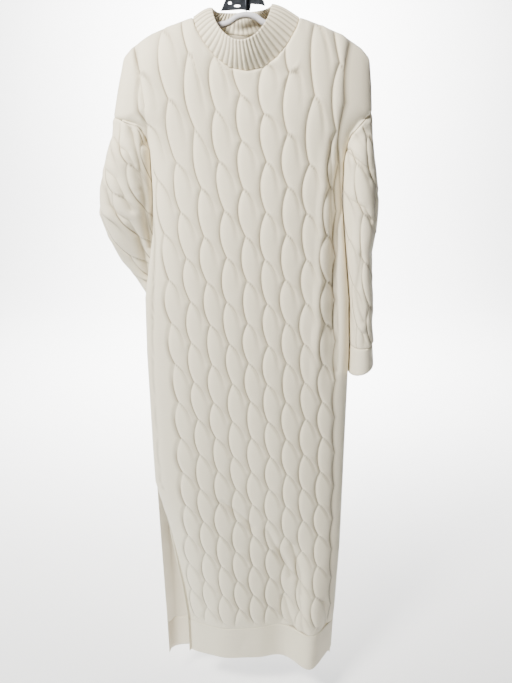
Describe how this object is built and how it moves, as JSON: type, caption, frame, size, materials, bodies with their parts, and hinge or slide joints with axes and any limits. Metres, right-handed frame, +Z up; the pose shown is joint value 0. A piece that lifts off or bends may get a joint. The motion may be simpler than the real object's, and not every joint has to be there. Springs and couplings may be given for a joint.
{
  "type": "long cable-knit sweater dress on a clothes hanger",
  "caption": "Ankle-length cable-knit sweater dress with ribbed mock neck, dropped shoulders, long sleeves and side slit, hung on a plain hanger.",
  "frame": {"origin": "inner top of the hanger's hook, where a rail holds it", "axes": "+Z up along the hanging dress, -Y out of the dress's front, +X to the right of someone looking at the front"},
  "size_m": [0.5318, 0.1586, 1.5178],
  "materials": {
    "yarn": "matte",
    "clear_plastic": "gloss",
    "dark_steel": "satin"
  },
  "bodies": {
    "root": {"front_panel": "yarn", "back_panel": "yarn", "front_hem_band": "yarn", "back_hem_band": "yarn", "collar": "yarn", "left_sleeve": "yarn", "left_cuff": "yarn", "right_sleeve": "yarn", "right_sleeve_top": "yarn", "right_cuff": "yarn", "hanger_arms": "clear_plastic", "hanger_hook": "dark_steel", "hanger_yoke": "dark_steel"}
  },
  "joints": []
}
